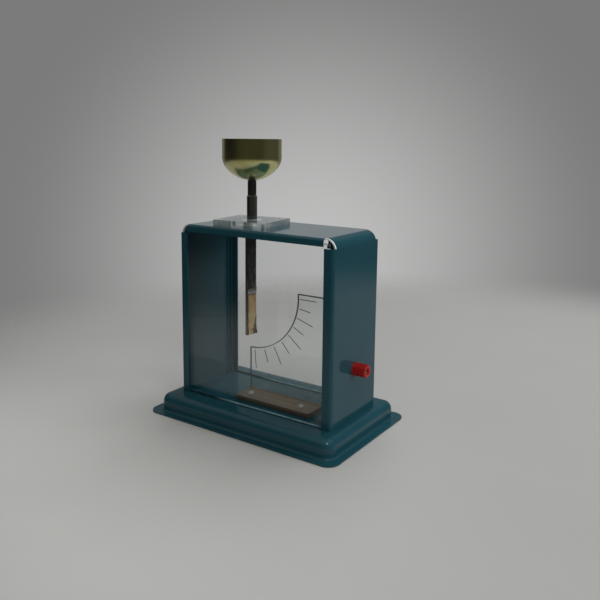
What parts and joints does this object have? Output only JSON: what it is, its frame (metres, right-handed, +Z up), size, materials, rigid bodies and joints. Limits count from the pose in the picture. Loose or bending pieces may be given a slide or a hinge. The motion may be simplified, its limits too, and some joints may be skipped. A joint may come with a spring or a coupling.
{
  "type": "gold leaf electroscope",
  "caption": "Electroscope: glass-windowed sheet case on a flanged base, insulated rod with an open brass cup above and a hinged gold leaf below, a clear angle scale and an earth terminal.",
  "frame": {"origin": "under the middle of the base, on the surface that it stands on", "axes": "+Z up; the front window faces -Y; the earth terminal points to +X"},
  "size_m": [0.191, 0.122, 0.2385],
  "materials": {
    "enamel": "glossy petrol-blue enamel on folded sheet",
    "glass": "clear window glass",
    "acrylic": "clear acrylic with polished faces",
    "steel": "bright plated steel",
    "brass": "spun and polished brass",
    "gold": "crinkled gold leaf",
    "wood": "varnished hardwood",
    "red_plastic": "moulded red plastic",
    "clear_scale": "clear sheet with engraved marks"
  },
  "bodies": {
    "case": {"base_tray": "enamel", "case_shell": "enamel", "front_window": "glass", "rear_window": "glass", "front_window_stops": "enamel", "rear_window_stops": "enamel", "case_screws": "steel", "insulator_plate": "acrylic", "insulator_bush": "acrylic", "insulator_screws": "steel", "rod": "steel", "leaf_plate": "steel", "leaf_plate_pins": "steel", "leaf_tab": "steel", "scale_plate": "clear_scale", "scale_block": "wood", "scale_screws": "brass", "scale_nuts": "brass", "terminal_stud": "brass", "terminal_collar": "red_plastic", "terminal_washer": "steel", "terminal_nut": "brass"},
    "leaf": {"gold_leaf": "gold"},
    "cup": {"cup": "brass", "cup_stem": "steel", "cup_screw": "brass"},
    "terminal_insert": {"terminal_insert": "brass"},
    "terminal_cap": {"terminal_cap": "red_plastic"}
  },
  "joints": [
    {"name": "leaf_swing", "type": "hinge", "parent": "case", "child": "leaf", "pos_m": [-0.02548, 0, 0.104], "axis": [0, -1, 0], "range_deg": [0, 85]},
    {"name": "cup_lift", "type": "slide", "parent": "case", "child": "cup", "axis": [0, 0, 1], "range_m": [0, 0.014]},
    {"name": "insert_slide", "type": "slide", "parent": "case", "child": "terminal_insert", "axis": [1, 0, 0], "range_m": [0, 0.002]},
    {"name": "cap_turn", "type": "hinge", "parent": "terminal_insert", "child": "terminal_cap", "pos_m": [0.078, 0, 0.0565], "axis": [1, 0, 0], "range_deg": [0, 720]}
  ],
  "couplings": [
    {"joint": "cap_turn", "follows": "insert_slide", "rad_per_m": 6283.2}
  ]
}
